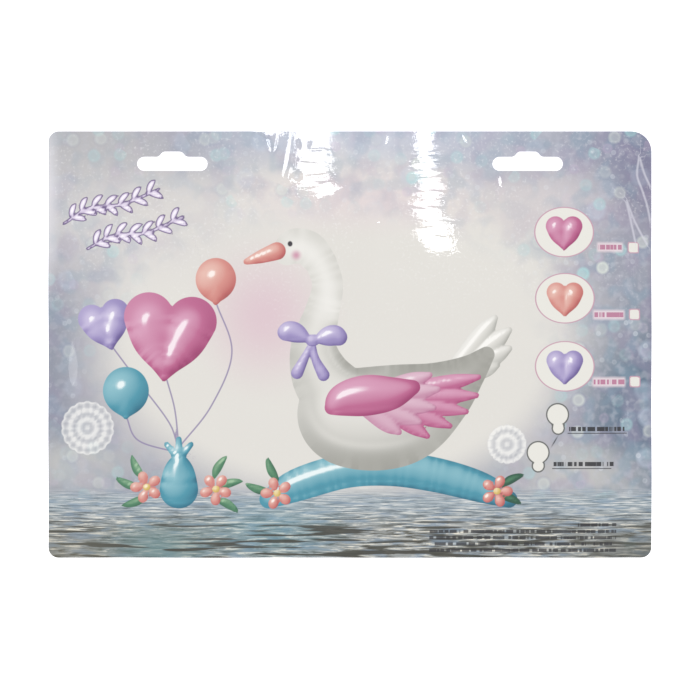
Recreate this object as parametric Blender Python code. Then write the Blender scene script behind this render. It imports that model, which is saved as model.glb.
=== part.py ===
"""Retail pack of a foil balloon: a flat printed film pouch, welded all round, with two hanger slots.

The pouch lies on its back. The origin is on the surface that it lies on, below its middle. +X runs to
the right and +Y to the header edge, as the front is read, and +Z points out of the front. In metres.
"""

import math

import bmesh
import bpy

MM = 0.001

# Outline of the die-cut pouch
PACK_WIDTH = 297 * MM
PACK_HEIGHT = 210 * MM
CORNER_RADIUS = 5 * MM
WIDE_CORNER_RADIUS = 10 * MM  # the upper right corner is cut rounder than the other three

# Hanger slots: a bar with round ends, and a hook tab on its upper side
SLOT_SPACING = 175 * MM  # between the middles of the two slots
SLOT_FROM_TOP = 16 * MM  # from the top edge to the middle of the bar
BAR_LENGTH = 34.7 * MM
BAR_HEIGHT = 6.9 * MM
TAB_BASE = 13.4 * MM
TAB_TOP = 9.4 * MM
TAB_HEIGHT = 2.6 * MM
TAB_ROUNDING = 1.2 * MM

# Films and welds
FILM_THICKNESS = 0.15 * MM  # of each of the two films
SIDE_WELD = 8 * MM
BOTTOM_WELD = 8 * MM
HEADER_MARGIN = 4 * MM  # welded film left below the slots

# Bulge over the folded balloon
POUCH_THICKNESS = 5.6 * MM  # over the highest folds, from the surface below to the front film
RIM_CLEARANCE = 1.6 * MM  # how high the welded rim stands over that surface
SHOULDER = 24 * MM  # from a weld's inner edge to the level middle
CAVITY_ROUNDING = 18 * MM  # of the bulge's corners, in plan
SHOULDER_POWER = 2.2  # over 1, so that the film leaves the weld steeply and meets the middle level

# Folds of the balloon inside, which press through the front film as low ridges
FOLD_DEPTH = 0.5 * MM
FOLD_SPACING = 43 * MM  # from ridge to ridge, up the pouch
FOLD_DRIFT = 9 * MM  # how far a ridge wanders up and down along its length
FOLD_DRIFT_LENGTH = 190 * MM

# Slow waves along the side and bottom welds, which die out at the header and over the level middle
WAVE_HEIGHT = 0.6 * MM
SIDE_WAVE_LENGTH = 74 * MM
BOTTOM_WAVE_LENGTH = 92 * MM
HEADER_CALM = 45 * MM  # below the header, where the waves reach their full height

# Fineness of the mesh
ARC_STEPS = 8  # sides of each quarter turn
LONGEST_CELL = 6.0 * MM
SHOULDER_CELL = 3.5 * MM

# Lengths that follow from the ones above
WELD_THICKNESS = 2 * FILM_THICKNESS
HEADER_HEIGHT = SLOT_FROM_TOP + BAR_HEIGHT / 2 + HEADER_MARGIN
RIGHT = PACK_WIDTH / 2
TOP = PACK_HEIGHT / 2
CAVITY_RIGHT = RIGHT - SIDE_WELD
CAVITY_TOP = TOP - HEADER_HEIGHT
CAVITY_BOTTOM = BOTTOM_WELD - TOP
CAVITY_MIDDLE = (CAVITY_TOP + CAVITY_BOTTOM) / 2
SLOT_Y = TOP - SLOT_FROM_TOP
SLOT_END = BAR_HEIGHT / 2  # radius of the bar's round ends
FRONT_RISE = POUCH_THICKNESS - RIM_CLEARANCE - WELD_THICKNESS


def smooth_step(low, high, value):
    """0 below low, 1 above high, and an S curve between them."""
    share = min(1.0, max(0.0, (value - low) / (high - low)))
    return share * share * (3 - 2 * share)


def wave(place, length, lead=0.0):
    return math.sin(2 * math.pi * place / length + lead)


def depth_in_cavity(x, y):
    """How far a point of the plan lies inside the rounded rectangle that the welds leave open."""
    past_x = abs(x) - CAVITY_RIGHT + CAVITY_ROUNDING
    past_y = abs(y - CAVITY_MIDDLE) - (CAVITY_TOP - CAVITY_BOTTOM) / 2 + CAVITY_ROUNDING
    outside = math.hypot(max(past_x, 0.0), max(past_y, 0.0))
    return CAVITY_ROUNDING - outside - min(max(past_x, past_y), 0.0)


def bulge(x, y):
    """0 on the welds and 1 over the level middle."""
    share = min(1.0, max(0.0, depth_in_cavity(x, y) / SHOULDER))
    return 1 - (1 - share) ** SHOULDER_POWER


def rim_wave(x, y):
    """Height of the slow waves of the welded rim."""
    near_side = smooth_step(CAVITY_RIGHT - SHOULDER, CAVITY_RIGHT, abs(x))
    near_bottom = smooth_step(0, SHOULDER, CAVITY_BOTTOM + SHOULDER - y)
    calm = smooth_step(0, HEADER_CALM, CAVITY_TOP - y)
    side = near_side * wave(y, SIDE_WAVE_LENGTH, math.copysign(1, x))
    bottom = (1 - near_side) * near_bottom * wave(x, BOTTOM_WAVE_LENGTH)
    return WAVE_HEIGHT * calm * (side + bottom)


def fold_dip(x, y):
    """How far the front film sinks between the ridges of the folded balloon."""
    drifted = y - CAVITY_MIDDLE + FOLD_DRIFT * wave(x, FOLD_DRIFT_LENGTH)
    return FOLD_DEPTH * (0.5 - 0.5 * math.cos(2 * math.pi * drifted / FOLD_SPACING))


def back_height(x, y):
    """Outer face of the back film, which lies flat on the surface below the middle."""
    return (RIM_CLEARANCE + rim_wave(x, y)) * (1 - bulge(x, y))


def front_height(x, y):
    """Outer face of the front film."""
    rise = bulge(x, y)
    over_middle = (FRONT_RISE - fold_dip(x, y)) * rise
    return RIM_CLEARANCE + WELD_THICKNESS + over_middle + rim_wave(x, y) * (1 - rise)


def clear_scene():
    for old in list(bpy.data.objects):
        bpy.data.objects.remove(old, do_unlink=True)


def printed_film():
    """Glossy printed plastic film, pale grey with a lavender tint."""
    material = bpy.data.materials.new("printed_film")
    material.use_nodes = True
    shader = material.node_tree.nodes["Principled BSDF"]
    shader.inputs["Base Color"].default_value = (0.70, 0.68, 0.73, 1)
    shader.inputs["Roughness"].default_value = 0.18
    shader.inputs["Metallic"].default_value = 0.0
    return material


def arc(x, y, radius, start, turn):
    """Points along an arc about (x, y), from a start angle through a turn, both in degrees."""
    steps = ARC_STEPS * turn // 90
    angles = [math.radians(start + turn * step / steps) for step in range(steps + 1)]
    return [(x + radius * math.cos(angle), y + radius * math.sin(angle)) for angle in angles]


def flat_face(bm, points):
    """A face through the given points of the plan, and its vertices in the same order."""
    vertices = [bm.verts.new((x, y, 0)) for x, y in points]
    return bm.faces.new(vertices), vertices


def all_of(faces):
    """The faces with their edges and vertices, as the cutting operator takes them."""
    edges = {edge for face in faces for edge in face.edges}
    vertices = {vertex for face in faces for vertex in face.verts}
    return list(faces) + list(edges) + list(vertices)


def cut(bm, faces, point, normal):
    bmesh.ops.bisect_plane(bm, geom=all_of(faces), dist=1e-6, plane_co=point, plane_no=normal)


def faces_between(bm, low, high):
    """The faces whose middles lie between two heights of the plan."""
    return [face for face in bm.faces if low < face.calc_center_median().y < high]


def die_cut_plate(bm):
    """The pouch's flat outline, with its four rounded corners."""
    corners = (
        (1, -1, CORNER_RADIUS),
        (1, 1, WIDE_CORNER_RADIUS),
        (-1, 1, CORNER_RADIUS),
        (-1, -1, CORNER_RADIUS),
    )
    points = []
    for turns, (side, end, radius) in enumerate(corners):
        points += arc(side * (RIGHT - radius), end * (TOP - radius), radius, 90 * turns - 90, 90)
    flat_face(bm, points)


def slot_outline(bm, middle_x):
    """The edges of one hanger slot."""
    straight = BAR_LENGTH / 2 - SLOT_END
    tab = [
        (TAB_BASE / 2, SLOT_END),
        (TAB_TOP / 2, SLOT_END + TAB_HEIGHT),
        (-TAB_TOP / 2, SLOT_END + TAB_HEIGHT),
        (-TAB_BASE / 2, SLOT_END),
    ]
    right_end = arc(straight, 0, SLOT_END, -90, 180)
    left_end = arc(-straight, 0, SLOT_END, 90, 180)
    others = set(bm.faces)
    points = [(middle_x + x, SLOT_Y + y) for x, y in right_end + tab + left_end]
    _, vertices = flat_face(bm, points)
    for vertex in vertices[len(right_end) : -len(left_end)]:
        bmesh.ops.bevel(
            bm,
            geom=[vertex],
            affect="VERTICES",
            offset=TAB_ROUNDING,
            segments=ARC_STEPS // 2,
            profile=0.5,
            material=-1,
        )
    (slot,) = set(bm.faces) - others
    edges = list(slot.edges)
    bmesh.ops.delete(bm, geom=[slot], context="FACES_ONLY")
    return edges


def cut_slots(bm):
    """Opens both hanger slots, each in a small cell of its own in the header."""
    surround = HEADER_MARGIN / 2
    low = SLOT_Y - SLOT_END - surround
    high = SLOT_Y + SLOT_END + TAB_HEIGHT + surround
    reach = BAR_LENGTH / 2 + surround
    for height in (CAVITY_TOP, low, high):
        cut(bm, bm.faces, (0, height, 0), (0, 1, 0))
    for middle_x in (-SLOT_SPACING / 2, SLOT_SPACING / 2):
        for x in (middle_x - reach, middle_x + reach):
            cut(bm, faces_between(bm, low, high), (x, 0, 0), (1, 0, 0))
        (cell,) = [
            face
            for face in faces_between(bm, low, high)
            if abs(face.calc_center_median().x - middle_x) < reach / 2
        ]
        around = list(cell.edges)
        bmesh.ops.delete(bm, geom=[cell], context="FACES_ONLY")
        bmesh.ops.triangle_fill(bm, edges=around + slot_outline(bm, middle_x), use_beauty=True)


def places(low, high, longest):
    """Evenly spaced places from low up to, but not including, high."""
    steps = math.ceil((high - low) / longest)
    return [low + (high - low) * step / steps for step in range(steps)]


def cell_lines(low_edge, high_edge):
    """Where the mesh is cut across the cavity: finer over the two shoulders than over the middle."""
    low, high = low_edge + SHOULDER, high_edge - SHOULDER
    return (
        places(low_edge, low, SHOULDER_CELL)
        + places(low, high, LONGEST_CELL)
        + places(high, high_edge, SHOULDER_CELL)
        + [high_edge]
    )


def cut_cells(bm):
    """Cuts everything below the flat header into small cells, which can follow the bulge."""
    for x in cell_lines(-CAVITY_RIGHT, CAVITY_RIGHT):
        cut(bm, faces_between(bm, -TOP, CAVITY_TOP), (x, 0, 0), (1, 0, 0))
    for y in cell_lines(CAVITY_BOTTOM, CAVITY_TOP):
        cut(bm, faces_between(bm, -TOP, CAVITY_TOP), (0, y, 0), (0, 1, 0))


def film_pouch():
    """The whole sealed pouch: two welded films with the folded balloon between them, as one solid."""
    bm = bmesh.new()
    die_cut_plate(bm)
    cut_slots(bm)
    cut_cells(bm)
    back = set(bm.verts)
    bmesh.ops.extrude_face_region(bm, geom=bm.faces[:])
    for vertex in bm.verts:
        height = back_height if vertex in back else front_height
        vertex.co.z = height(vertex.co.x, vertex.co.y)
    bmesh.ops.recalc_face_normals(bm, faces=bm.faces[:])
    mesh = bpy.data.meshes.new("film_pouch")
    bm.to_mesh(mesh)
    bm.free()
    mesh.shade_smooth()
    mesh.set_sharp_from_angle(angle=math.radians(40))
    mesh.materials.append(printed_film())
    pouch = bpy.data.objects.new("film_pouch", mesh)
    bpy.context.scene.collection.objects.link(pouch)


clear_scene()
film_pouch()
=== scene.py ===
"""Looks of the foil balloon pack: a flat pouch of glossy printed film, lying on its back."""

import math

import bmesh
import bpy
import numpy as np
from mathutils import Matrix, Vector, noise
from mathutils.bvhtree import BVHTree


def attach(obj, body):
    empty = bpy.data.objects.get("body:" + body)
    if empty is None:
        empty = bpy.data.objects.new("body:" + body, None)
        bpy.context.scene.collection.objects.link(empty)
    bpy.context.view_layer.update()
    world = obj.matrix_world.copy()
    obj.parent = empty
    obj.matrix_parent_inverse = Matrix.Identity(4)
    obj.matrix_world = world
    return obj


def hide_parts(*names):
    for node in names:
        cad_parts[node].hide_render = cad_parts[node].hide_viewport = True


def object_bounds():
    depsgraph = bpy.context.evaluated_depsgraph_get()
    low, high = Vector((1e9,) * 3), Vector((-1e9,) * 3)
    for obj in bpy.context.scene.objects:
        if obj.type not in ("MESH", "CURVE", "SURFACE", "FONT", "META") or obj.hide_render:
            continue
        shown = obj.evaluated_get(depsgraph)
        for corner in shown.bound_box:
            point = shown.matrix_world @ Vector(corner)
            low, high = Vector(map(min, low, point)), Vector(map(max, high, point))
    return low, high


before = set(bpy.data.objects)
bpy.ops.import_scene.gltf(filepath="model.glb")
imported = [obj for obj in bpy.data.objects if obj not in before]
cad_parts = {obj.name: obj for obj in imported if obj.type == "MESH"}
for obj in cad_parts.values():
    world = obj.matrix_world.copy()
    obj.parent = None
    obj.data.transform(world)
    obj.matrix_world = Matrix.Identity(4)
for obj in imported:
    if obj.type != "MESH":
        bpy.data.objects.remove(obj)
cad_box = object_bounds()

# The pouch's form
# Two sheets of printed film lie face to face, heat welded all round, with the folded balloon between
# them. The edge and the two hanger slots are die cut through both films after welding. The welds gather
# the loose film into short puckers, and the header takes the creases of handling.

MM = 0.001
# mm, as fine as one piece of under 200,000 triangles can have
CELL = 1.18  # mm, the spacing of the sheet's cells, which gives the piece just under 200,000 triangles
SLOT_SURROUND = 2.0  # mm from a slot to the nearest cuts across the whole sheet
SIDE_WELD = 8.0  # mm
HEADER = 23.45  # mm of welded film along the top edge
WELD_TOP = 1.9  # mm, the front film's height on the welds
THINNEST = 0.22  # mm, the two films where they are welded
FACET_SMOOTHING = 16  # passes, enough to lose the solid's facets
INWARD = 1 - 1e-4  # keeps each ray a hair inside the outline, so that none slips past the solid's edge


def open_loops(bm):
    """The points of each loop of open edges, in mm, without those along a straight run."""
    waiting = [edge for edge in bm.edges if edge.is_boundary]
    loops = []
    while waiting:
        edge = waiting.pop()
        vertex = edge.verts[1]
        points = [edge.verts[0].co / MM, vertex.co / MM]
        while onward := [edge for edge in vertex.link_edges if edge in waiting]:
            waiting.remove(onward[0])
            vertex = onward[0].other_vert(vertex)
            points.append(vertex.co / MM)
        points.pop()
        bends = []
        for before, point, after in zip(points[-1:] + points[:-1], points, points[1:] + points[:1]):
            if (point - before).angle(after - point) > math.radians(1):
                bends.append(Vector((point.x, point.y, 0)))
        loops.append(bends)
    return loops


def add_loop(bm, points):
    vertices = [bm.verts.new(point) for point in points]
    return bm.faces.new(vertices)


def cut_at(bm, place, axis):
    """Cuts the whole sheet along the line where x (axis 0) or y (axis 1) is this."""
    line = Vector((0, 0, 0))
    line[axis] = 1
    everything = bm.verts[:] + bm.edges[:] + bm.faces[:]
    bmesh.ops.bisect_plane(bm, geom=everything, dist=1e-5, plane_co=line * place, plane_no=line)


def cell_sheet(solid):
    """The die-cut outline with its slots as one flat sheet of fine cells, in mm."""
    front = solid.copy()
    others = [face for face in front.faces if face.normal.z < 0.5]
    bmesh.ops.delete(front, geom=others, context="FACES")
    loops = open_loops(front)
    front.free()
    widths = [max(point.x for point in loop) - min(point.x for point in loop) for loop in loops]
    die_cut = loops.pop(widths.index(max(widths)))
    bm = bmesh.new()
    add_loop(bm, die_cut)
    for slot in loops:
        for axis in (0, 1):
            cut_at(bm, min(point[axis] for point in slot) - SLOT_SURROUND, axis)
            cut_at(bm, max(point[axis] for point in slot) + SLOT_SURROUND, axis)
    for slot in loops:
        middle = sum(slot, Vector()) / len(slot)
        cell = min(bm.faces, key=lambda face: (face.calc_center_median() - middle).length)
        rims = list(cell.edges)
        bmesh.ops.delete(bm, geom=[cell], context="FACES_ONLY")
        hole = add_loop(bm, slot)
        rims += hole.edges
        bmesh.ops.delete(bm, geom=[hole], context="FACES_ONLY")
        bmesh.ops.triangle_fill(bm, edges=rims, use_beauty=True)
    for axis in (0, 1):
        low = min(point[axis] for point in die_cut)
        high = max(point[axis] for point in die_cut)
        cells = math.ceil((high - low) / CELL)
        for cell in range(1, cells):
            cut_at(bm, low + (high - low) * cell / cells, axis)
    return bm


def heights_on(surface, points, above):
    """Heights of the solid's front (above) or back at each point of the plan, in mm."""
    start, look = (1, -1) if above else (-1, 1)
    heights = []
    for across, up in points * INWARD * MM:
        hit = surface.ray_cast(Vector((across, up, start)), Vector((0, 0, look)))[0]
        if hit is None:
            hit = surface.find_nearest(Vector((across, up, start * 0.01)))[0]
        heights.append(hit.z / MM)
    return np.array(heights)


def evened(heights, pairs, passes):
    """The heights averaged with their neighbours', which takes the solid's flat facets away."""
    here, there = np.concatenate([pairs, pairs[:, ::-1]]).T
    neighbours = np.bincount(here, minlength=len(heights))
    for _ in range(passes):
        totals = np.bincount(here, weights=heights[there], minlength=len(heights))
        heights = (heights + totals / neighbours) / 2
    return heights


def ramp(low, high, values):
    """0 below low, 1 above high, and an S curve between them."""
    share = np.clip((values - low) / (high - low), 0, 1)
    return share * share * (3 - 2 * share)


def crinkle(across, up, wide, tall, seed):
    """Smooth random waves from -1 to 1, about as wide and as tall as told."""
    places = zip(across / wide, up / tall)
    return np.array([noise.noise(Vector((*place, seed))) for place in places])


def smooth_line(knots, steps=10):
    """A smooth line of (x, y, radius) through the knots."""
    knots = np.array(knots, float)
    ends = np.vstack([2 * knots[0] - knots[1], knots, 2 * knots[-1] - knots[-2]])
    t = np.linspace(0, 1, steps, endpoint=False)[:, None]
    spans = []
    for a, b, c, d in zip(ends, ends[1:], ends[2:], ends[3:]):
        bend = (c - a) * t + (2 * a - 5 * b + 4 * c - d) * t**2 + (3 * b - a - 3 * c + d) * t**3
        spans.append(b + bend / 2)
    return np.vstack([*spans, knots[-1:]])


def nearest_on(points, start, end):
    """How far along a span the nearest place to each point is, and its (x, y, radius)."""
    run = (end - start)[:2]
    share = np.clip((points - start[:2]) @ run / (run @ run), 0, 1)
    return share, start + share[:, None] * (end - start)


def puckers(x, y):
    """Short wrinkles that run square off each weld's inner edge and die out over the bulge."""
    right, top = cad_box[1][0] / MM, cad_box[1][1] / MM
    wide, deep, fade_length = 4.5, 40, 9  # mm
    # For each side: how far in from the weld's inner edge, how far along it, the rise in mm, the seed.
    sides = (
        (right - SIDE_WELD + x, y, 0.22, 1.0),
        (right - SIDE_WELD - x, y, 0.22, 2.0),
        (top - SIDE_WELD + y, x, 0.22, 3.0),
        (top - HEADER - y, x, 0.004, 4.0),
    )
    total = np.zeros(len(x))
    for depth, along, rise, seed in sides:
        fade = ramp(-3, 3, depth) * np.exp(-np.clip(depth, 0, None) / fade_length)
        total += rise * fade * crinkle(along, depth, wide, deep, seed)
    return total


# Two forked creases at the right edge's upper end: (x, y, half width) along each branch, in mm.
EDGE_CREASES = (
    [(142.4, 92.5, 0.7), (141.4, 83.5, 1.7), (143.9, 76.0, 1.6), (146.3, 68.6, 1.2), (147.8, 61.3, 0.6)],
    [(142.9, 91.5, 0.6), (144.9, 84.4, 1.4), (147.8, 78.0, 0.8)],
    [(136.0, 70.0, 0.6), (137.5, 63.7, 1.3), (139.0, 57.3, 1.1), (140.4, 51.0, 0.5)],
    [(136.3, 70.5, 0.6), (139.5, 62.2, 1.5), (142.9, 55.4, 1.3), (146.3, 49.5, 0.7)],
)
CREASE_RISE = 0.10  # mm
CREASE_FOOT = 1.3  # half widths from the ridge to where a crease ends


def edge_creases(points):
    """1 on the ridge of a crease and 0 beside it."""
    ridge = np.zeros(len(points))
    for knots in EDGE_CREASES:
        line = smooth_line(knots)
        for start, end in zip(line, line[1:]):
            centre = nearest_on(points, start, end)[1]
            away = np.hypot(*(points - centre[:, :2]).T)
            ridge = np.maximum(ridge, 1 - away / (CREASE_FOOT * centre[:, 2]))
    return ramp(0, 1, ridge)


# Below the header's middle the film is slack and lies lower than the folds, nearly flat, so it mirrors
# the lamps in long strips. The next four functions take and give mm: x across and y up the pack.


def straight_climb(heights, x, y):
    """The film from the middle to the right, which climbs off the header without a fold."""
    foot, length, rise = 79.5, 19, 3.5
    climb = np.clip((foot - y) / length, 0, 1)
    straight = WELD_TOP + rise * (1 - (1 - climb**2) ** 1.5)
    share = ramp(-24, -14, x) * (1 - np.clip((x - 50) / 58, 0, 1) ** 2) * ramp(0, 22, y)
    return heights + share * (straight - heights)


def slow_rise(heights, x, y):
    """The film left of the middle, which rises slowly, down from the header and out to the left."""
    bend = 0.00036
    slow = WELD_TOP + bend * np.clip(72 - y, 0, None) ** 2
    slow += bend * ramp(82, 60, y) * np.clip(-28 - x, 0, None) ** 2
    blend = 0.02 + 0.6 * ramp(82, 66, y)
    near = np.clip(0.5 + (slow - heights) / (2 * blend), 0, 1)
    slow += near * (heights - slow) - blend * near * (1 - near)
    return heights + ramp(16, -19, x) * ramp(92, 86, y) * (slow - heights)


def curled_edge(x, y):
    """How far the header's upper edge curls up, right of the left slot."""
    low = 101.6 + 0.19 * np.clip(-41.4 - x, 0, None)
    return 0.0005 * np.clip(-27 - x, 0, 27) ** 2 * ramp(-64, -56, x) * ramp(low, low + 1, y)


def slight_twist(x, y):
    """A twist between the slots, which leads the long lamp's image a little aside and makes it wider."""
    twist = 0.000006 * np.clip(81 - y, -24, 29) * (x - 32.5) ** 2
    twist -= 0.000007 * np.clip(56 - y, 0, 14) ** 2 * np.clip(40 - x, 0, 12) ** 2
    twist += 0.0026 * ramp(54, 64, y) * ramp(86, 74, y) * (x - 36)
    return twist * ramp(12, 30, x) * ramp(74, 56, x) * ramp(18, 40, y)


def film_waves(x, y):
    """The small relief of the front film: the welds' puckers, and waves that are calm between the slots."""
    slack = 0.07 * crinkle(x, y, 34, 27, 21.0)
    fine = 0.012 * crinkle(x, y, 9, 12, 22.0)
    calm = 1 - 0.9 * ramp(-64, -52, x) * ramp(74, 60, x) * ramp(30, 42, y)
    return puckers(x, y) + calm * (slack + fine)


def closed_skin(sheet, front_z, back_z):
    """The sheet as a closed skin, and for each of its vertices the sheet's point that it came from."""
    origin = sheet.verts.layers.int.new("origin")
    for index, vertex in enumerate(sheet.verts):
        vertex[origin] = index
    back = set(sheet.verts)
    bmesh.ops.extrude_face_region(sheet, geom=sheet.faces[:])
    for vertex in sheet.verts:
        heights = back_z if vertex in back else front_z
        vertex.co.z = heights[vertex[origin]]
    bmesh.ops.scale(sheet, vec=(MM, MM, MM), verts=sheet.verts[:])
    bmesh.ops.recalc_face_normals(sheet, faces=sheet.faces[:])
    origins = np.array([vertex[origin] for vertex in sheet.verts])
    sheet.verts.layers.int.remove(origin)
    return sheet, origins


def unfold(skin):
    """Lays the front, the small back and the cut edge out on the piece's own map."""
    half_width, half_height = cad_box[1][0] / MM, cad_box[1][1] / MM
    margin = 1.5  # mm round the front, for the cut edge
    front_scale = 1 / (2 * (half_width + margin))
    lowest = 1 - 2 * (half_height + margin) * front_scale
    back_scale = 0.98 * lowest / (2 * half_height)
    uv = skin.loops.layers.uv.new("OFBake")
    for face in skin.faces:
        normal = face.normal
        edge = abs(normal.z) < 0.5
        face.material_index = 1 if edge or normal.z < 0 else 0
        for loop in face.loops:
            point = loop.vert.co / MM
            if edge:
                below = any(other.normal.z < -0.5 for other in loop.vert.link_faces)
                point = point + (margin * 0.8 if below else 0.0) * normal
            if edge or normal.z > 0:
                across = (point.x + half_width + margin) * front_scale
                up = lowest + (point.y + half_height + margin) * front_scale
            else:
                across = (half_width - point.x) * back_scale
                up = (point.y + half_height) * back_scale
            loop[uv].uv = (across, up)


solid = bmesh.new()
solid.from_mesh(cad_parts["film_pouch"].data)
bmesh.ops.remove_doubles(solid, verts=solid.verts[:], dist=1e-6)
solid.normal_update()
sheet = cell_sheet(solid)
sheet.verts.index_update()
plan = np.array([vertex.co[:2] for vertex in sheet.verts])
pairs = np.array([[vertex.index for vertex in edge.verts] for edge in sheet.edges])
surface = BVHTree.FromBMesh(solid)
solid.free()
front_z = evened(heights_on(surface, plan, True), pairs, FACET_SMOOTHING)
front_z = slow_rise(straight_climb(front_z, *plan.T), *plan.T)
front_z += curled_edge(*plan.T) + slight_twist(*plan.T) + film_waves(*plan.T)
front_z += CREASE_RISE * edge_creases(plan)
back_z = evened(heights_on(surface, plan, False), pairs, FACET_SMOOTHING)
back_z = np.minimum(back_z, front_z - THINNEST)
skin, origins = closed_skin(sheet, front_z, back_z)
unfold(skin)
film_mesh = bpy.data.meshes.new("film_pouch_skin")
skin.to_mesh(film_mesh)
skin.free()
film_mesh.shade_smooth()
film_mesh.set_sharp_from_angle(angle=math.radians(50))
film = bpy.data.objects.new("film_pouch_skin", film_mesh)
bpy.context.scene.collection.objects.link(film)
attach(film, "root")
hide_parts("film_pouch")


# The printed figures
# A goose and party balloons of swollen foil, gravure printed on the film's inner face. Each figure is
# kept on the skin's points as how deep a point lies inside its outline and how light it is there, so
# that the ink's edge stays sharp between the points.

LAMP_WAY = np.array([-0.42, 0.52, 0.74])  # where the printed light comes from
GLINT_WAY = np.array([-0.22, 0.30, 0.93])
GLINT_WAY /= np.linalg.norm(GLINT_WAY)
GLINT_SPREAD = 0.012
GROUND_LEAN = -0.80  # how far foil leans down where it mirrors the pale ground
GROUND_SPREAD = 0.14
PUCKER_REACH = 3.5  # mm in from a figure's outline
LEAST_RISE = 0.05  # so that no foil faces fully sideways
OUTSIDE = -4.0  # mm, the depth of every point that is further out


def swollen(forms, softness=1.0):
    """Which points lie near forms that swell about lines, and these points' depth in mm inside them, the
    ways they face, and the mm along the lines."""
    lines = [smooth_line(form) for form in forms]
    every = np.vstack(lines)
    low = (every[:, :2] - every[:, 2:]).min(axis=0) + OUTSIDE
    high = (every[:, :2] + every[:, 2:]).max(axis=0) - OUTSIDE
    near = ((plan > low) & (plan < high)).all(axis=1)
    points = plan[near]
    depth = np.full(len(points), OUTSIDE)
    facing = np.zeros((len(points), 3))
    along = np.zeros(len(points))
    for line in lines:
        gone = 0.0
        for start, end in zip(line, line[1:]):
            length = math.hypot(*(end - start)[:2])
            share, centre = nearest_on(points, start, end)
            away = points - centre[:, :2]
            inside = centre[:, 2] - np.hypot(*away.T)
            lean = away / centre[:, 2:]
            rise = np.sqrt(np.maximum(1 - (lean**2).sum(axis=1), LEAST_RISE**2))
            weight = np.exp(np.maximum(inside, OUTSIDE) / softness)
            facing += weight[:, None] * np.column_stack([lean, rise])
            along = np.where(inside > depth, gone + share * length, along)
            depth = np.maximum(depth, inside)
            gone += length
    facing /= np.linalg.norm(facing, axis=1)[:, None]
    return near, depth, facing, along


def foil_light(depth, facing, along, pucker):
    """How light swollen foil looks: a soft lamp up on the left, its glint, and the pale ground below."""
    lamp = 0.43 + 0.42 * facing @ LAMP_WAY
    glint = 0.42 * np.exp((facing @ GLINT_WAY - 1) / GLINT_SPREAD)
    ground = 0.16 * np.exp(-(((facing[:, 1] - GROUND_LEAN) / GROUND_SPREAD) ** 2))
    folds = pucker * np.sin(1.15 * along + 1.7 * np.sin(0.37 * along))
    return lamp + glint + ground + folds * np.exp(-np.maximum(depth, 0) / PUCKER_REACH)


def keep(name, near, *values):
    """Keeps up to three numbers of each point as an attribute of the skin."""
    table = np.zeros((len(plan), 3), np.float32)
    table[:, 0] = OUTSIDE
    for column, numbers in enumerate(values):
        table[near, column] = numbers
    layer = film_mesh.attributes.new(name, "FLOAT_VECTOR", "POINT")
    layer.data.foreach_set("vector", table[origins].ravel())


def turned(form, place, size=1.0, degrees=0.0):
    """A form moved, sized and turned."""
    cosine, sine = math.cos(math.radians(degrees)), math.sin(math.radians(degrees))
    return [
        (
            place[0] + size * (cosine * across - sine * up),
            place[1] + size * (sine * across + cosine * up),
            size * radius,
        )
        for across, up, radius in form
    ]


def heart(place, size, degrees=0.0):
    """The two lobes of a heart balloon, which run down into one point."""
    lobes = []
    for side in (-1, 1):
        lobe = [(10 * side, 7, 11.5), (7 * side, -3, 9.5), (2.5 * side, -14, 4.2), (0, -21.5, 0.7)]
        lobes.append(turned(lobe, place, size, degrees))
    return lobes


def around(form, place, count, size=1.0, first=0.0):
    """Copies of a form, evenly turned about a place."""
    return [turned(form, place, size, first + 360 * step / count) for step in range(count)]


def feathers(root, tips, width):
    """Long feathers that fan out from a root to their tips."""
    x, y = root
    return [
        [(x + across * (tip_x - x), y + up * (tip_y - y), share * width) for across, up, share in FEATHER]
        for tip_x, tip_y in tips
    ]


FEATHER = ((0, 0, 0.45), (0.35, 0.30, 0.9), (0.75, 0.72, 1), (1, 1, 0.35))  # shares of x, y and width
PETAL = [(2.2, 0, 0.9), (5.0, 0, 2.5), (6.0, 0, 2.4)]
LEAF = [(0, 0, 0.5), (5, 0.8, 2.1), (10, 0.3, 1.5), (13, -0.6, 0.3)]
PEARL = ((0.0, "#85847e"), (0.22, "#a3a29b"), (0.45, "#bfbeb8"), (0.7, "#dad8d2"), (0.98, "#faf8f4"))
PINK = ((0.0, "#7d2452"), (0.3, "#a23a70"), (0.6, "#bd628e"), (0.84, "#d99ebb"), (1.0, "#f9e8f0"))
BLUSH = ((0.0, "#964672"), (0.3, "#b46a90"), (0.6, "#c992ad"), (0.84, "#dfbbcc"), (1.0, "#faeef3"))
VIOLET = ((0.0, "#45386f"), (0.35, "#6f5f9c"), (0.65, "#9d90c2"), (0.85, "#cac0e0"), (1.0, "#f8f5fc"))
CORAL = ((0.0, "#8f3a3c"), (0.35, "#bd605e"), (0.65, "#d68c83"), (0.85, "#e8bbaf"), (1.0, "#fdf0ea"))
AQUA = ((0.0, "#0f4a5e"), (0.3, "#24748d"), (0.6, "#4595aa"), (0.84, "#8bbfcb"), (1.0, "#ecf7f8"))
LEAVES = ((0.0, "#103a30"), (0.4, "#225841"), (0.7, "#4d8562"), (1.0, "#9dc19d"))
POLLEN = ((0.0, "#a87c1c"), (0.6, "#dcbd6c"), (1.0, "#fbf0cf"))
VIOLET_INK = ((0.0, "#5c4b74"), (0.34, "#76648f"), (0.58, "#d9cce4"), (1.0, "#fdf8ff"))
NAPE = (-14, 40, 7.6)  # where the goose's neck and head meet
BLOSSOM_PLACES = ((-100, -70), (-66, -71), (-36, -73), (72, -72))
SWATCH_PLACES = ((105.1, 55.2), (105.5, 22.7), (105.4, -10.7))

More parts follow.
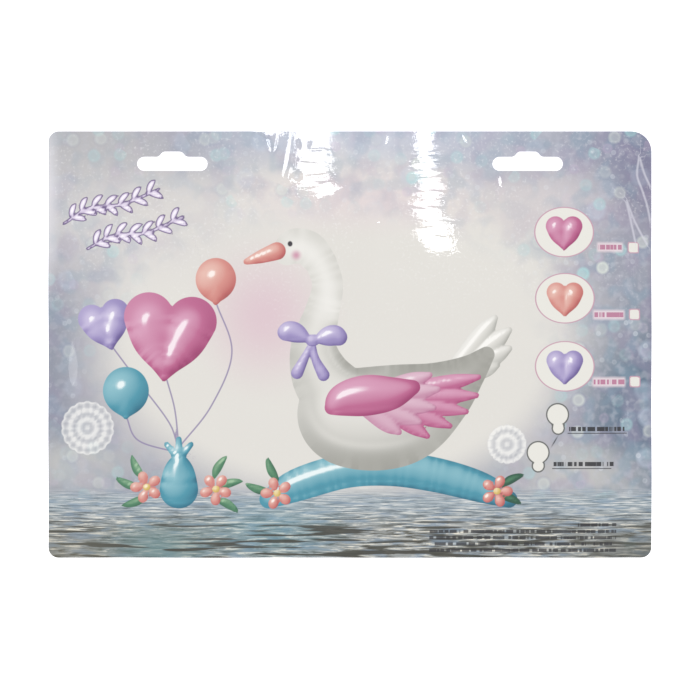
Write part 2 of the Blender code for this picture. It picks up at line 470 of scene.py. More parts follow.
# Each figure in the order of printing: its forms, their softness, the foil's puckers and the ink.
foil_figures = {
    "coral_balloon": (
        [[(-66, 33, 9.6), (-66, 31, 9.4), (-66, 23, 2.8), (-66, 20.6, 1.3)]],
        2.0,
        0.05,
        CORAL,
    ),
    "violet_heart": (heart((-120, 10), 0.60, 14), 1.6, 0.10, VIOLET),
    "aqua_balloon": (
        [[(-110, -22, 11), (-110, -24, 10.6), (-110, -33, 3), (-110, -35.5, 1.3)]],
        2.0,
        0.05,
        AQUA,
    ),
    "pink_heart": (heart((-89, 5), 1.06, -6), 2.2, 0.10, PINK),
    "weight": (
        [
            [(-84, -71, 9.5), (-84, -63, 7.5), (-84, -55.5, 2.6)],
            [(-84, -56, 2.2), (-90, -49, 1.3)],
            [(-84, -56, 2.2), (-84, -46.5, 1.4)],
            [(-84, -56, 2.2), (-78, -49, 1.3)],
        ],
        0.8,
        0.14,
        AQUA,
    ),
    "base": (
        [
            [
                (-40, -76, 4.5),
                (-26, -69, 8),
                (-2, -62, 8.5),
                (20, -61, 8.5),
                (42, -64, 8.5),
                (64, -70, 7.5),
                (78, -76, 4.2),
            ]
        ],
        1.2,
        0.08,
        AQUA,
    ),
    "tail": (feathers((46, -16), ((72, -10), (78, -2), (78, 7), (71, 13)), 4.8), 0.5, 0.0, PEARL),
    "goose": (
        [
            [(-8, -30, 17), (0, -36, 24), (22, -35, 25), (42, -26, 17), (58, -14, 8.5), (67, -5, 4)],
            [(-4, -28, 17), (-14, -16, 14.5), (-18, -1, 11), (-14, 15, 8.6), (-11, 29, 7.6), NAPE],
            [NAPE, (-20, 47, 8.6), (-27, 48.5, 8.6), (-31, 46, 7)],
        ],
        3.0,
        0.05,
        PEARL,
    ),
    "flight_feathers": (
        feathers((6, -26), ((38, -45), (49, -40), (57, -33), (62, -25), (63, -16)), 4.0),
        0.4,
        0.0,
        PINK,
    ),
    "covert_feathers": (
        feathers((0, -27), ((24, -43), (34, -38), (41, -31), (43, -22), (39, -15)), 4.4),
        0.4,
        0.0,
        BLUSH,
    ),
    "shoulder": (
        [[(-9, -31, 3.5), (-3, -27, 8.0), (8, -25, 10.0), (20, -24, 8.0), (31, -21, 3.5)]],
        1.6,
        0.0,
        PINK,
    ),
    "beak": ([[(-36, 46, 4.4), (-44, 43.2, 3.2), (-51, 40.8, 1.5)]], 1.0, 0.0, CORAL),
    "ribbon_tails": (
        [
            [(-19, 1, 0.9), (-22, -6, 2.0), (-26, -14, 3.0)],
            [(-18, 1, 0.9), (-17, -7, 2.0), (-13, -15, 3.0)],
        ],
        0.6,
        0.03,
        VIOLET,
    ),
    "bow": (
        [
            [(-19.5, 2, 1.0), (-26, 5.5, 4.6), (-29.5, 6.5, 5.0), (-31.5, 6, 4.2)],
            [(-17.5, 2, 1.0), (-11, 4.0, 4.6), (-7.5, 4.5, 5.0), (-5.5, 3.6, 4.2)],
            [(-19, 2, 2.9), (-18, 2, 2.9)],
        ],
        0.4,
        0.03,
        VIOLET,
    ),
    "leaves": (
        [
            turned(LEAF, place, 1.0, degrees)
            for place, degrees in (
                ((-103, -70), 160),
                ((-101, -66), 120),
                ((-100, -74), 205),
                ((-65, -71), 20),
                ((-67, -66), 62),
                ((-66, -76), -28),
                ((-39, -72), 165),
                ((-35, -67), 118),
                ((74, -70), 30),
                ((72, -74), -18),
            )
        ],
        0.6,
        0.0,
        LEAVES,
    ),
    "blossoms": (
        [petal for place in BLOSSOM_PLACES for petal in around(PETAL, place, 5, 0.95, 9 * place[0])],
        0.5,
        0.0,
        CORAL,
    ),
    "blossom_hearts": ([[(x, y, 1.7), (x + 0.4, y, 1.7)] for x, y in BLOSSOM_PLACES], 0.5, 0.0, POLLEN),
    "swatch_pink": (heart(SWATCH_PLACES[0], 0.42), 1.0, 0.04, PINK),
    "swatch_coral": (heart(SWATCH_PLACES[1], 0.42), 1.0, 0.04, CORAL),
    "swatch_violet": (heart(SWATCH_PLACES[2], 0.42), 1.0, 0.04, VIOLET),
}
figure_inks = {}
for name, (forms, softness, pucker, stops) in foil_figures.items():
    near, depth, facing, along = swollen(forms, softness)
    keep(name, near, depth, foil_light(depth, facing, along, pucker))
    figure_inks[name] = stops

# Two leafy sprigs in violet line, a dark rim round a pale core, with a pair of leaves at every fourth
# point of their stems.
SPRIG_LEAF = [(0, 0, 0.35), (2.0, 0.5, 1.1), (4.2, 0.5, 1.15), (5.9, -0.1, 0.35)]
SPRIG_STEMS = (
    [(-141, 59.5, 0.8), (-128, 67, 0.9), (-112, 69, 0.9), (-94, 76.5, 0.8)],
    [(-129, 47.0, 0.8), (-116, 53.5, 0.9), (-100, 55, 0.9), (-82, 63, 0.8)],
)
sprig_forms = list(SPRIG_STEMS)
for stem in SPRIG_STEMS:
    line = smooth_line(stem)
    for number in range(3, len(line) - 1, 4):
        run = line[number + 1] - line[number - 1]
        way = math.degrees(math.atan2(run[1], run[0]))
        for side in (-1, 1):
            sprig_forms.append(turned(SPRIG_LEAF, line[number][:2], 1.3, way + 40 * side))
near, depth, *_ = swollen(sprig_forms)
keep("sprigs", near, depth, 0.1 + 0.75 * depth)
figure_inks["sprigs"] = VIOLET_INK


# Strings, lace and labels
# Thin lines are kept as a signed distance to the nearest line, whose sides alternate from line to line,
# so no false line shows halfway between two. The round lace mats are rings of holes and scallops, and
# the labels and rings are kept as how deep a point lies inside them, all as flat print on the film.

SPOKES = 18  # of a lace mat, with half as many double scallops round its rim
RING_PITCH = 4.4  # mm between a lace mat's rings


def beside(lines):
    """Signed distance to the nearest of lines, in mm."""
    nearest = np.full(len(plan), np.inf)
    signed = np.zeros(len(plan))
    for number, line in enumerate(lines):
        line = smooth_line(line)
        for start, end in zip(line, line[1:]):
            run = end - start
            away = plan - nearest_on(plan, start, end)[1][:, :2]
            distance = np.hypot(*away.T)
            side = np.sign(run[0] * away[:, 1] - run[1] * away[:, 0]) * (1 if number % 2 else -1)
            closer = distance < nearest
            signed = np.where(closer, side * distance, signed)
            nearest = np.where(closer, distance, nearest)
    return signed


def lace_mat(place, radius):
    """A round lace mat: depth inside its scalloped rim, and its pattern of rings and spokes."""
    away = plan - place
    ring = np.hypot(*away.T)
    way = np.arctan2(away[:, 1], away[:, 0])
    depth = radius + 0.8 * np.abs(np.sin(SPOKES / 2 * way)) - ring
    rings = 0.5 + 0.5 * np.cos(2 * math.pi * ring / RING_PITCH)
    spokes = 0.5 + 0.5 * np.cos(SPOKES * way) * ramp(2, 7, ring)
    return depth, 0.25 + 0.45 * rings + 0.30 * spokes


def ovals(places):
    """Depth inside ovals of the given centres and half sizes."""
    depth = np.full(len(plan), OUTSIDE)
    for centre, radii in places:
        away = (plan - centre) / radii
        depth = np.maximum(depth, (1 - np.hypot(*away.T)) * min(radii))
    return depth


string_lines = (
    [(-110, -35, 0), (-104, -47, 0), (-85, -53, 0)],
    [(-116, -2, 0), (-104, -18, 0), (-89, -38, 0), (-84.5, -50, 0)],
    [(-90, -17, 0), (-86, -32, 0), (-84, -50, 0)],
    [(-66, 21, 0), (-58, -4, 0), (-68, -30, 0), (-83.5, -50, 0)],
)
keep("strings", slice(None), beside(string_lines))
# The distance to the right edge's creases, which carries the painted highlight along them.
keep("creases", slice(None), beside(EDGE_CREASES))
mats = [lace_mat((-129, -41), 12.5), lace_mat((77, -49), 9.0)]
mat_depth = np.maximum(mats[0][0], mats[1][0])
mat_light = np.where(mats[0][0] > mats[1][0], mats[0][1], mats[1][1])
keep("lace", slice(None), np.maximum(mat_depth, OUTSIDE), mat_light)

# White labels with a thin rim: three ovals behind the small hearts with a tick box beside each, and two
# pairs of touching rings.
LABEL_RADII = (14.7, 12.4)  # mm
BOX_PLACES = ((139.5, 47.7), (140.0, 14.8), (140.3, -18.3))
BOX_HALF = 2.8  # mm
RING_PLACES = ((101.9, -34.4, 5.7), (102.2, -41.1, 3.3), (92.3, -53.0, 5.7), (92.4, -59.6, 3.3))
label_depth = ovals((place, LABEL_RADII) for place in SWATCH_PLACES)
for centre in BOX_PLACES:
    box_depth = BOX_HALF - np.abs(plan - centre).max(axis=1)
    label_depth = np.maximum(label_depth, box_depth)
ring_depth = ovals(((x, y), (radius, radius)) for x, y, radius in RING_PLACES)
keep("labels", slice(None), label_depth, ring_depth)


# Film and print
# The film is clear polypropylene, gravure printed on its inner face, so the picture lies under a smooth
# glossy skin. The back film has a plain milky lavender ink. The picture behind the figures is a pale
# glow with soft discs of light, over rippled water.


def linear(hex_colour):
    """An sRGB hex colour as linear RGBA."""
    shares = [int(hex_colour[place : place + 2], 16) / 255 for place in (1, 3, 5)]
    return [s / 12.92 if s <= 0.04045 else ((s + 0.055) / 1.055) ** 2.4 for s in shares] + [1.0]


def add(kind, sockets, stops=(), **settings):
    """Adds a node to the tree at hand, with its settings, colour stops, and sockets' values or links.

    Most sockets go by number. A MapRange's are its value (0), the values it comes from (1, 2) and those
    it becomes (3, 4). A Mix of colours has its share (0), its colours (6, 7) and its result (2).
    """
    made = tree.nodes.new("ShaderNode" + kind)
    for name, value in settings.items():
        setattr(made, name, value)
    if stops:
        elements = made.color_ramp.elements
        for element, (place, colour) in zip(elements, (stops[0], stops[-1])):
            element.position = place
            element.color = linear(colour)
        for place, colour in stops[1:-1]:
            elements.new(place).color = linear(colour)
    for name, value in sockets.items():
        if isinstance(value, bpy.types.NodeSocket):
            tree.links.new(value, made.inputs[name])
        elif isinstance(value, str):
            made.inputs[name].default_value = linear(value)
        else:
            made.inputs[name].default_value = value
    return made.outputs


printed = bpy.data.materials.new("gravure printed polypropylene film")
printed.use_nodes = True
tree = printed.node_tree
gloss = tree.nodes["Principled BSDF"]
place = add("TexCoord", {})["Object"]
mm = add("Mapping", {0: place, "Scale": (1000, 1000, 1000)})[0]
flat = add("Mapping", {0: mm, "Scale": (1, 1, 0)})[0]
x_y = add("SeparateXYZ", {0: mm})


def glow(centre, radii, strength=1.0, tilt=0.0):
    """A soft oval patch: this strong at its centre, and 0 at its radii and beyond."""
    turn = (0, 0, math.radians(tilt))
    oval = {0: flat, "Location": (*centre, 0), "Rotation": turn, "Scale": (*radii, 1)}
    oval = add("Mapping", oval, vector_type="TEXTURE")[0]
    patch = add("TexGradient", {0: oval}, gradient_type="SPHERICAL")["Fac"]
    return add("MapRange", {0: patch, 4: strength}, interpolation_type="SMOOTHSTEP")[0]


def printed_over(ink, layers):
    """An ink with layers of other inks on it, each a colour and the share of the ink that it hides."""
    for colour, share in layers:
        ink = add("Mix", {0: share, 6: ink, 7: colour}, data_type="RGBA")[2]
    return ink


# The ground: lavender grey at the sides, cream in the middle, a pink haze above it, all a little mottled.
cloud = add("TexNoise", {0: flat, "Scale": 1 / 40, "Detail": 3}, noise_dimensions="2D")[0]
cloud = add("MapRange", {0: cloud, 1: 0.35, 2: 0.68}, interpolation_type="SMOOTHSTEP")[0]
lower_right = add("MapRange", {0: glow((164, -34), (80, 80)), 2: 0.62})[0]
centre_glow = glow((-6, 8), (158, 112))
centre_glow = add("MapRange", {0: centre_glow, 2: 0.30}, interpolation_type="SMOOTHSTEP")[0]
layers = [
    ("#b0aeb7", cloud),
    ("#c8ccdb", glow((10, 104), (136, 44), 0.95)),
    ("#bab9bb", glow((-128, 92), (74, 50), 0.9)),
    ("#62768b", lower_right),
    ("#7b7f9e", glow((154, 92), (60, 60), 0.9)),
    ("#868c9c", glow((-166, -20), (64, 110), 0.9)),
    ("#e2dfd9", centre_glow),
    ("#dad6d4", glow((-108, 60), (88, 44), 0.92)),
    ("#cfc9cd", glow((102, 72), (46, 28), 0.85)),
    ("#c6c6c2", glow((-135, -58), (44, 20), 0.8)),
    ("#dcbfca", glow((-42, 14), (44, 46), 0.8)),
    ("#e3d6d7", glow((8, 72), (86, 24), 0.85)),
    ("#c6c5c2", glow((112, -63), (52, 25), 0.85)),
    ("#68718b", glow((140, -45), (22, 15), 0.5)),
]

# The mottle and the soft discs of light, out of focus, thickest at the right side and along the top.
outer = glow((-6, -6), (164, 102))
outer = add("MapRange", {0: outer, 1: 0.32, 2: 0.01, 4: 0.8}, interpolation_type="SMOOTHSTEP")[0]
right_side = add("MapRange", {0: x_y[0], 1: 84, 2: 136, 4: 0.55})[0]
outer = add("Math", {0: outer, 1: right_side}, operation="ADD")[0]
for calm in (glow((-110, -110), (150, 130), 0.35), glow((-118, 94), (88, 62), 0.35)):
    outer = add("Math", {0: outer, 1: calm}, operation="SUBTRACT", use_clamp=True)[0]
for size, low, high, colour, amount in (
    (15, 0.46, 0.68, "#9f94b0", 0.36),
    (11, 0.46, 0.68, "#86a2b6", 0.38),
    (4, 0.44, 0.76, "#c3c4cf", 0.30),
):
    moved = add("Mapping", {0: flat, "Location": (size * 5.1, size * 2.3, 0)})[0]
    mottle = add("TexNoise", {0: moved, "Scale": 1 / size, "Detail": 1}, noise_dimensions="2D")[0]
    mottle = add("MapRange", {0: mottle, 1: low, 2: high, 4: amount}, interpolation_type="SMOOTHSTEP")[0]
    layers.append((colour, add("Math", {0: mottle, 1: outer}, operation="MULTIPLY")[0]))
for cell, radius, amount, rare, colour in (
    (17.0, 4.6, 0.46, 0.50, "#c6d2e4"),
    (13.0, 3.6, 0.40, 0.50, "#7a80a6"),
    (12.0, 3.0, 0.66, 0.56, "#aee0e0"),
    (13.0, 3.0, 0.72, 0.60, "#e6ede2"),
    (11.0, 2.4, 0.40, 0.60, "#cdb6d2"),
    (6.0, 1.2, 0.45, 0.60, "#dfe5ec"),
):
    moved = add("Mapping", {0: flat, "Location": (cell * 7.3, cell * 3.1, 0)})[0]
    disc = add("TexVoronoi", {0: moved, "Scale": 1 / cell}, voronoi_dimensions="2D")
    middle, rim, end = (share * radius / cell for share in (0.45, 0.78, 1.22))
    stops = ((middle, "#d8d8d8"), (rim, "#ffffff"), (end, "#000000"))
    edge = add("ValToRGB", {0: disc["Distance"]}, stops)[0]
    strength = add("MapRange", {0: disc["Color"], 1: rare, 2: 0.9, 4: amount})[0]
    share = add("Math", {0: edge, 1: strength}, operation="MULTIPLY")[0]
    layers.append((colour, add("Math", {0: share, 1: outer}, operation="MULTIPLY")[0]))
layers += [
    ("#dcd4d2", glow((84, 67), (38, 24), 0.6)),
    ("#dbd7d3", glow((-94, 66), (64, 26), 0.55)),
    ("#716d88", glow((147, 82), (24, 44), 0.5)),
]

# A dust of fine specks of light, thickest in the upper half.
dust = add("TexNoise", {0: flat, "Scale": 1 / 1.5, "Detail": 2}, noise_dimensions="2D")[0]
dust = add("MapRange", {0: dust, 1: 0.57, 2: 0.84, 4: 0.36})[0]
thick = add("TexNoise", {0: flat, "Scale": 1 / 22, "Detail": 2}, noise_dimensions="2D")[0]
thick = add("MapRange", {0: thick, 1: 0.38, 2: 0.60, 3: 0.25})[0]
upper = add("MapRange", {0: x_y[1], 1: 0, 2: 56, 3: 0.2})[0]
for fewer in (thick, upper):
    dust = add("Math", {0: dust, 1: fewer}, operation="MULTIPLY")[0]
layers.append(("#ffffff", dust))

# Painted light along the welds: a pale painted highlight down the left weld and a deeper painted shade down
# the right one.
layers += [
    ("#e0dfe4", glow((-149, 74), (8, 66), 0.85)),
    ("#837c96", glow((149.5, 8), (4.5, 120), 0.65)),
]

# Rippled water along the bottom, its ripples finer towards the far shore.
SHORE = -70.5  # mm up the pack
below_shore = add("Math", {0: SHORE, 1: x_y[1]}, operation="SUBTRACT")[0]
below_shore = add("Math", {0: below_shore, 1: 0.4}, operation="MAXIMUM")[0]
rows_down = add("Math", {0: below_shore, 1: 0.5}, operation="POWER")[0]
water_place = add("CombineXYZ", {0: x_y[0], 1: rows_down})[0]
ripple_place = add("Mapping", {0: water_place, "Scale": (1 / 13, 9.6, 1)})[0]
ripple = {0: ripple_place, "Scale": 1.0, "Detail": 4, "Roughness": 0.66, "Distortion": 0.4}
waves = add("TexNoise", ripple, noise_dimensions="2D")[0]
NEAR_WATER = (
    (0.34, "#3a3829"),
    (0.41, "#66665a"),
    (0.46, "#888b89"),
    (0.54, "#9ca1a1"),
    (0.58, "#bcbeb9"),
    (0.64, "#ece6d6"),
)
FAR_WATER = (
    (0.34, "#66727a"),
    (0.44, "#8b9aa3"),
    (0.52, "#a6b2b9"),
    (0.60, "#c9cfd1"),
    (0.68, "#e6e6e2"),
)
near = add("MapRange", {0: x_y[1], 1: -78, 2: -92}, interpolation_type="SMOOTHSTEP")[0]
blue_place = add("Mapping", {0: ripple_place, "Location": (7.7, 3.1, 0), "Scale": (0.8, 0.35, 1)})[0]
blue = add("TexNoise", {0: blue_place, "Scale": 1.0, "Detail": 3}, noise_dimensions="2D")[0]
blue = add("MapRange", {0: blue, 1: 0.52, 2: 0.66, 4: 0.55})[0]
streak_place = add("Mapping", {0: water_place, "Location": (0, 0, 4.3), "Scale": (1 / 34, 5.2, 1)})[0]
streak = add("TexNoise", {0: streak_place, "Scale": 1.0, "Detail": 1})[0]
streak = add("MapRange", {0: streak, 1: 0.43, 2: 0.38, 4: 0.95})[0]
streak = add("Math", {0: streak, 1: near}, operation="MULTIPLY")[0]
water_layers = (
    (add("ValToRGB", {0: waves}, NEAR_WATER)[0], near),
    ("#7f97ae", blue),
    ("#5f9fb0", glow((-40, -92), (52, 22), 0.45)),
    ("#62878a", glow((-94, -101), (44, 22), 0.8)),
    ("#2c2b16", streak),
    ("#4b4d42", glow((150, -108), (60, 26), 0.8)),
    ("#6d6a58", glow((-150, -108), (60, 24), 0.6)),
)
water = printed_over(add("ValToRGB", {0: waves}, FAR_WATER)[0], water_layers)
shore = add("MapRange", {0: x_y[1], 1: -68, 2: -77, 4: 0.95}, interpolation_type="SMOOTHSTEP")[0]
layers.append((water, shore))

# The lace mats, a pale see-through white.
parts = add("SeparateXYZ", {0: add("Attribute", {}, attribute_name="lace")["Vector"]})
inside = add("MapRange", {0: parts[0], 1: -0.3, 2: 0.3, 4: 0.75})[0]
lace = add("ValToRGB", {0: parts[1]}, ((0.2, "#a9abb2"), (0.5, "#cfd0d3"), (0.8, "#f7f6f3")))[0]
layers.append((lace, inside))

# The white labels and rings with their rims, and rows of plain dashes.
parts = add("SeparateXYZ", {0: add("Attribute", {}, attribute_name="labels")["Vector"]})
for depth, rim, rim_ends in ((parts[0], "#c79aad", 0.34), (parts[1], "#5f615f", 0.52)):
    layers.append((rim, add("MapRange", {0: depth, 1: -0.15, 2: 0.15})[0]))
    layers.append(("#e9e7e0", add("MapRange", {0: depth, 1: rim_ends, 2: rim_ends + 0.3})[0]))


def bar(middle, half, strength=1.0, soft=0.12):
    """A plain upright oblong: this strong inside its half sizes, and 0 beside it."""
    share = strength
    for axis in (0, 1):
        away = add("Math", {0: x_y[axis], 1: middle[axis]}, operation="SUBTRACT")[0]
        away = add("Math", {0: away}, operation="ABSOLUTE")[0]
        inside = add("MapRange", {0: away, 1: half[axis] + soft, 2: half[axis] - soft})[0]
        share = add("Math", {0: inside, 1: share}, operation="MULTIPLY")[0]
    return share


def dashes(corner, size, pitch, thick, length, strength):
    """Rows of plain dashes of uneven length, up and right of a corner: this strong in a dash."""
    up = add("Math", {0: x_y[1], 1: corner[1]}, operation="SUBTRACT")[0]
    row = add("Math", {0: up, 1: pitch}, operation="SNAP")[0]
    up = add("Math", {0: up, 1: row}, operation="SUBTRACT")[0]
    line = add("Math", {0: up, 1: 0.5 * pitch, 2: 0.5 * thick}, operation="COMPARE")[0]
    place = add("CombineXYZ", {0: x_y[0], 1: row})[0]
    place = {0: place, "Location": (0, 0, 0.37 * corner[1]), "Scale": (1 / length, 9.7, 1)}
    dash = add("TexNoise", {0: add("Mapping", place)[0], "Scale": 1.0, "Detail": 2})[0]
    dash = add("MapRange", {0: dash, 1: 0.41, 2: 0.46})[0]
    middle = [corner[axis] + size[axis] / 2 for axis in (0, 1)]
    for share in (line, bar(middle, [side / 2 for side in size], strength)):
        dash = add("Math", {0: dash, 1: share}, operation="MULTIPLY")[0]
    return dash


for middle, half in (((127.7, 47.8), 6.4), ((127.2, 14.6), 7.8), ((127.2, -18.4), 8.2)):
    layers.append(("#ecdbe1", bar(middle, (half, 2.3), 0.85, 0.7)))
for colour, strength, corner, size, pitch, thick, length in (
    ("#1d1d24", 0.85, (39, -102.9), (92, 12.5), 3.13, 1.6, 2.0),
    ("#1d1d24", 0.85, (112, -90.2), (19, 3.1), 3.1, 1.6, 2.0),
    ("#b5688c", 0.85, (122, 46.2), (11.6, 3.2), 3.2, 2.4, 1.5),
    ("#b5688c", 0.85, (120, 13.0), (14.4, 3.2), 3.2, 2.4, 1.5),
    ("#b5688c", 0.85, (119.6, -20.0), (15.4, 3.2), 3.2, 2.4, 1.5),
    ("#17171f", 0.95, (107.5, -42.9), (27.5, 2.8), 2.8, 2.1, 1.6),
    ("#17171f", 0.95, (99.9, -60.1), (29.6, 2.8), 2.8, 2.1, 1.6),
):
    layers.append((colour, dashes(corner, size, pitch, thick, length, strength)))
layers += [
    ("#34353c", bar((121.5, -43.6), (14.7, 0.22), 0.95)),
    ("#34353c", bar((113.8, -60.9), (14.6, 0.22), 0.95)),
    ("#34353c", glow((100.4, -47.6), (4.8, 0.55), tilt=59)),
]

# The strings, and then each swollen figure.
string = add("Attribute", {}, attribute_name="strings")["Vector"]
string = add("VectorMath", {0: string}, operation="LENGTH")["Value"]
layers.append(("#8b7fa6", add("MapRange", {0: string, 1: 0.55, 2: 0.2, 4: 0.85})[0]))
for name, stops in figure_inks.items():
    parts = add("SeparateXYZ", {0: add("Attribute", {}, attribute_name=name)["Vector"]})
    inside = add("MapRange", {0: parts[0], 1: -0.16, 2: 0.16})[0]
    layers.append((add("ValToRGB", {0: parts[1]}, stops)[0], inside))

# The goose's blush and its plain round eye, and a painted highlight in pale lavender white along the film's
# sharp creases, where they would catch the lamps.
crease_highlight = add("Attribute", {}, attribute_name="creases")["Vector"]
crease_highlight = add("VectorMath", {0: crease_highlight}, operation="LENGTH")["Value"]
layers += [
    ("#c9789c", glow((-26.5, 44.0), (3.6, 3.6), 0.8)),
    ("#2b2630", add("MapRange", {0: glow((-29.5, 49.6), (1.6, 1.8)), 2: 0.35})[0]),
    ("#dcdbe6", add("MapRange", {0: crease_highlight, 1: 0.8, 2: 0.15, 4: 0.6})[0]),
]

# The clear film over the print takes a little of the light.
ink = printed_over("#9b9eac", layers)
ink = add("Mix", {0: 1.0, 6: ink, 7: "#f4f4f4"}, data_type="RGBA", blend_type="MULTIPLY")[2]
tree.links.new(ink, gloss.inputs["Base Color"])

# The film's fine ripples, too small for its mesh: rungs across the lamp's mirror image, rows beside it,
# and the folds and dimples of the header, each a ridge or a hollow of (place, radii, rise, tilt) in mm.
rungs = add("Mapping", {0: flat, "Rotation": (0, 0, 0.06), "Scale": (1 / 20, 1 / 2.4, 1)})[0]
rungs = add("TexNoise", {0: rungs, "Scale": 1.0, "Detail": 1.5}, noise_dimensions="2D")[0]
rung_rise = {0: glow((37, 91), (34, 14), 0.10), 1: glow((37, 70), (34, 30), 0.024)}
rung_rise = add("Math", rung_rise, operation="ADD")[0]
rows = add("Mapping", {0: flat, "Location": (9, 5, 0), "Scale": (1 / 14, 1 / 2.8, 1)})[0]
rows = add("TexNoise", {0: rows, "Scale": 1.0, "Detail": 1}, noise_dimensions="2D")[0]
row_rise = glow((-20, 90), (22, 26), 0.04)
grain = add("TexNoise", {0: mm, "Scale": 1 / 1.6, "Detail": 2})[0]
relief = 0.0
for wave, rise in ((rungs, rung_rise), (rows, row_rise), (grain, 0.0045)):
    relief = add("Math", {0: wave, 1: rise, 2: relief}, operation="MULTIPLY_ADD")[0]
for place, radii, rise, tilt in (
    ((-32.2, 92.5), (2.2, 13.5), 0.030, -11),
    ((-30.6, 82.6), (2.2, 5.6), 0.040, -12),
    ((-40.9, 98.6), (1.9, 6.4), 0.040, 17),
    ((-37.2, 99.2), (1.7, 5.8), 0.036, -12),
    ((-25.3, 99.0), (1.7, 3.2), -0.060, 14),
    ((-20.0, 98.6), (1.6, 2.2), -0.060, -20),
    ((-26.0, 83.0), (3.2, 3.4), -0.080, 0),
    ((75.2, 81.2), (2.6, 5.2), 0.045, 0),
    ((57.4, 101.2), (1.6, 4.4), 0.036, 35),
    ((17.4, 100.8), (1.6, 4.0), 0.024, -12),
    ((38.0, 83.0), (15.0, 1.2), 0.034, 2),
    ((37.0, 76.0), (13.0, 1.2), 0.034, -4),
    ((42.0, 71.5), (9.0, 1.1), 0.026, 5),
    ((39.0, 67.5), (14.0, 1.2), 0.030, -3),
    ((44.0, 60.5), (13.0, 1.3), 0.022, -5),
    ((36.0, 58.0), (8.0, 1.2), 0.018, 6),
    ((46.0, 53.5), (9.0, 1.1), 0.007, -8),
    ((-17.0, 96.0), (12.0, 1.3), 0.018, 4),
    ((-20.0, 90.5), (11.0, 1.3), 0.018, -5),
    ((-16.0, 84.5), (9.0, 1.3), 0.018, 6),
):
    relief = add("Math", {0: relief, 1: glow(place, radii, rise, tilt)}, operation="ADD")[0]
bump = add("Bump", {"Height": relief, "Strength": 1.0, "Distance": MM})[0]
for name in ("Normal", "Coat Normal"):
    tree.links.new(bump, gloss.inputs[name])
for name, value in (
    ("IOR", 1.5),
    ("Roughness", 0.30),
    ("Specular IOR Level", 0.2),
    ("Coat Weight", 1.0),
    ("Coat Roughness", 0.025),
):
    gloss.inputs[name].default_value = value

# The back film and the cut edge: the same film over a plain ink, slack and so a little uneven.
milky = bpy.data.materials.new("milky polypropylene film")
milky.use_nodes = True
tree = milky.node_tree
gloss = tree.nodes["Principled BSDF"]
place = add("TexCoord", {})["Object"]
mm = add("Mapping", {0: place, "Scale": (1000, 1000, 1000)})[0]
cloud = add("TexNoise", {0: mm, "Scale": 1 / 28, "Detail": 4})[0]
pale = add("ValToRGB", {0: cloud}, ((0.35, "#cfcad8"), (0.65, "#e4e1ea")))[0]
folds = add("TexNoise", {0: mm, "Scale": 1 / 16, "Detail": 3, "Distortion": 0.8})[0]
bump = add("Bump", {"Height": folds, "Strength": 0.25, "Distance": 2 * MM})[0]
for name, link in (("Base Color", pale), ("Normal", bump)):
    tree.links.new(link, gloss.inputs[name])
for name, value in (("IOR", 1.5), ("Roughness", 0.28), ("Coat Weight", 0.6), ("Coat Roughness", 0.06)):
    gloss.inputs[name].default_value = value
for material in (printed, milky):
    film_mesh.materials.append(material)


# The studio
# A lit table of opal acrylic under the pack, a soft white sky all round, and lamps overhead. The glossy
# film mirrors two of them, a long tube and a small window, and a long lens looks straight down.

LENS = 100.0
SENSOR = 36.0
PACK_SHARE = 604.3 / 700  # of the picture's width
PACK_LIFT = 5.5 / 700  # of the picture's width, above its middle
FRONT_HEIGHT = 0.004  # m, about where the front film lies
TABLE_HALF = 1.6  # m
MIRRORED_HEIGHT = 1.4  # m, of the lamps that the film mirrors
view_width = (cad_box[1][0] - cad_box[0][0]) / PACK_SHARE
camera_height = view_width * LENS / SENSOR + FRONT_HEIGHT
camera_y = -PACK_LIFT * view_width

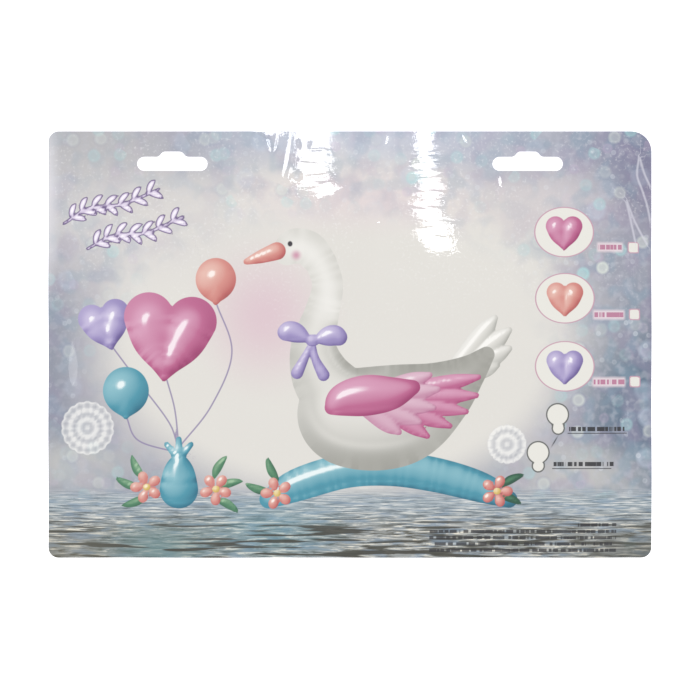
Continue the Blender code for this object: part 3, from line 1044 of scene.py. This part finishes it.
floor_mesh = bpy.data.meshes.new("table_top")
floor_bm = bmesh.new()
bmesh.ops.create_grid(floor_bm, x_segments=1, y_segments=1, size=TABLE_HALF)
floor_bm.to_mesh(floor_mesh)
floor_bm.free()
floor = bpy.data.objects.new("table_top", floor_mesh)
bpy.context.scene.collection.objects.link(floor)
opal = bpy.data.materials.new("opal acrylic light table")
opal.use_nodes = True
for name, value in (
    ("Base Color", linear("#fdfdfd")),
    ("Roughness", 0.8),
    ("Emission Color", (1, 1, 1, 1)),
    ("Emission Strength", 0.4),
):
    opal.node_tree.nodes["Principled BSDF"].inputs[name].default_value = value
floor_mesh.materials.append(opal)

world = bpy.data.worlds.new("studio")
world.use_nodes = True
sky = world.node_tree.nodes["Background"]
sky.inputs["Color"].default_value = (1, 1, 1, 1)
sky.inputs["Strength"].default_value = 0.87
bpy.context.scene.world = world


def lamp(name, place, size, radiance, target=None):
    """A square-edged lamp that the camera doesn't see, aimed at a target or straight down."""
    light = bpy.data.lights.new(name, "AREA")
    light.shape = "RECTANGLE"
    light.size, light.size_y = size
    light.energy = radiance * math.pi * size[0] * size[1]
    made = bpy.data.objects.new(name, light)
    made.location = place
    if target is not None:
        made.rotation_euler = (Vector(target) - Vector(place)).to_track_quat("-Z", "Y").to_euler()
    made.visible_camera = False
    bpy.context.scene.collection.objects.link(made)


def mirrored_lamp(name, film_x, film_y, radiance):
    """A lamp level with the table that a flat film would mirror to the camera between these mm."""
    reach = 1 + MIRRORED_HEIGHT / camera_height
    low_x, high_x = (side * MM * reach for side in film_x)
    low_y, high_y = ((side * MM - camera_y) * reach + camera_y for side in film_y)
    place = ((low_x + high_x) / 2, (low_y + high_y) / 2, MIRRORED_HEIGHT)
    lamp(name, place, (high_x - low_x, high_y - low_y), radiance)


mirrored_lamp("tube_lamp", (32.0, 44.0), (46, 560), 15)
mirrored_lamp("window_lamp", (-28, -8.3), (76.5, 112), 14)
lamp("soft_left", (-1.5, 0.1, 1.0), (1.0, 1.0), 2.2, (0, 0, 0))
lamp("soft_right", (1.5, -0.4, 1.0), (1.0, 1.0), 1.8, (0, 0, 0))

camera_data = bpy.data.cameras.new("camera")
camera_data.lens = LENS
camera_data.sensor_width = SENSOR
camera = bpy.data.objects.new("camera", camera_data)
camera.location = (0, camera_y, camera_height)
bpy.context.scene.collection.objects.link(camera)
bpy.context.scene.camera = camera
bpy.context.scene.view_settings.view_transform = "Standard"
